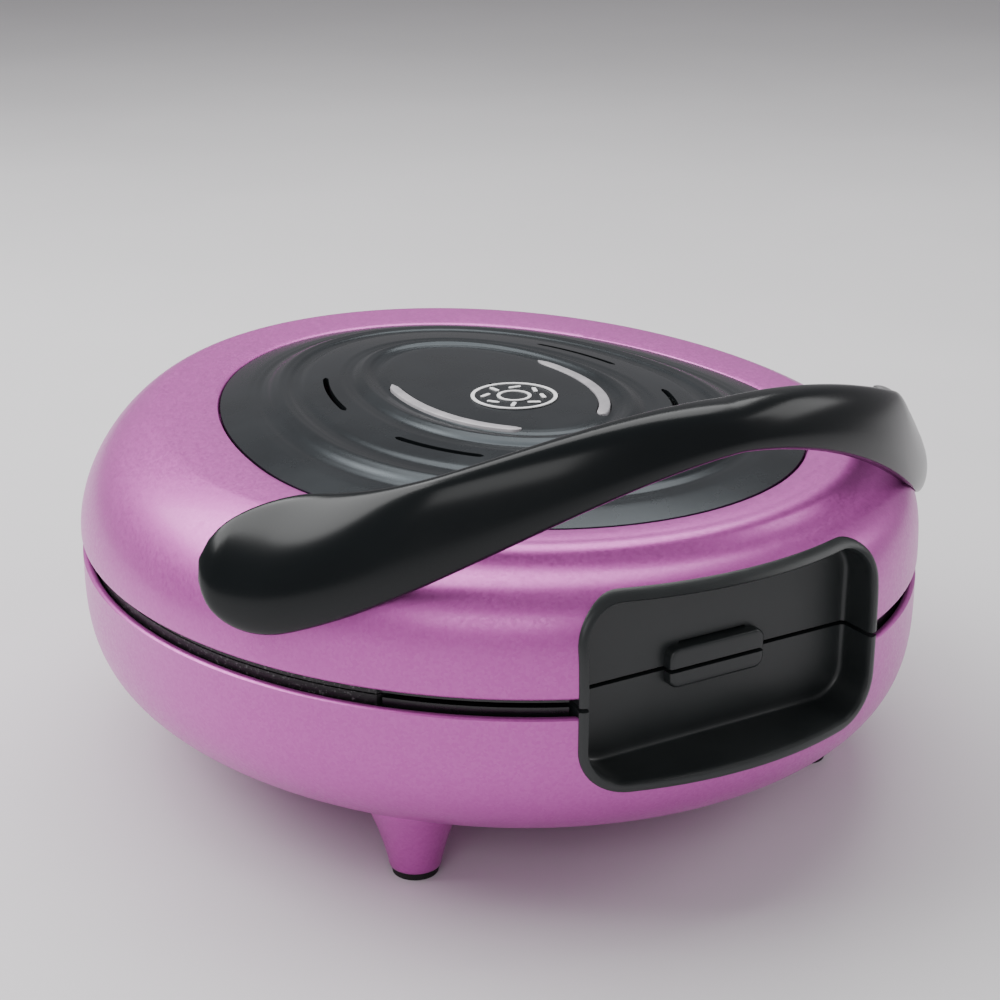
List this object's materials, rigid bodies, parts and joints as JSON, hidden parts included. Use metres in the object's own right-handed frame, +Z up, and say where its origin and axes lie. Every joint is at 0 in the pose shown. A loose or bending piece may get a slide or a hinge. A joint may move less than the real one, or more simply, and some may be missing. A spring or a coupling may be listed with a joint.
{
  "type": "donut maker",
  "caption": "Clamshell donut maker with oval metallic shells, a domed rippled top panel, an arched front handle and a recessed latch.",
  "frame": {"origin": "on the floor under the middle of the appliance's bounding box", "axes": "+X to the appliance's right seen from the back, -Y towards the latch at the front, +Z up"},
  "size_m": [0.25, 0.284, 0.1381],
  "materials": {
    "shell_paint": "metallic gloss",
    "panel_grey": "satin",
    "gloss_black": "high gloss",
    "frame_black": "satin",
    "bezel_grey": "satin",
    "rubber_black": "matte",
    "steel": "satin",
    "nonstick": "coated satin",
    "reflector_metal": "satin",
    "element_metal": "oxidised",
    "ceramic_white": "matte",
    "window_clear": "translucent",
    "lamp_red": "clear",
    "board_green": "satin",
    "wire_red": "satin",
    "badge_silver": "satin"
  },
  "bodies": {
    "base": {"base_shell": "shell_paint", "foot_pads": "rubber_black", "base_screws": "steel", "base_frame": "frame_black", "base_bezel": "bezel_grey", "lower_plate": "nonstick", "lower_plate_screws": "steel", "lower_element": "element_metal", "lower_reflector": "reflector_metal", "lower_thermostat": "ceramic_white", "thermal_fuse": "ceramic_white", "terminal_block": "ceramic_white", "element_wires": "wire_red", "cord_gland": "rubber_black", "gland_nut": "frame_black", "hinge_pin": "steel"},
    "lid": {"lid_shell": "shell_paint", "lid_frame": "frame_black", "lid_screws": "steel", "lid_bezel": "bezel_grey", "upper_plate": "nonstick", "upper_plate_screws": "steel", "upper_element": "element_metal", "upper_reflector": "reflector_metal", "upper_thermostat": "ceramic_white", "top_panel": "panel_grey", "power_window": "window_clear", "ready_window": "window_clear", "indicator_board": "board_green", "indicator_lamps": "lamp_red", "badge": "badge_silver", "handle": "gloss_black", "handle_screws": "steel", "latch_pin": "steel", "latch_spring": "steel"},
    "latch": {"latch_lever": "bezel_grey"}
  },
  "joints": [
    {"name": "lid_hinge", "type": "hinge", "parent": "base", "child": "lid", "pos_m": [0, 0.1365, 0.066], "axis": [-1, 0, 0], "range_deg": [0, 100]},
    {"name": "latch_pivot", "type": "hinge", "parent": "lid", "child": "latch", "pos_m": [0, -0.1125, 0.08], "axis": [1, 0, 0], "range_deg": [0, 4], "stiffness_Nm_per_rad": 0.3, "springref_deg": -5.73}
  ]
}
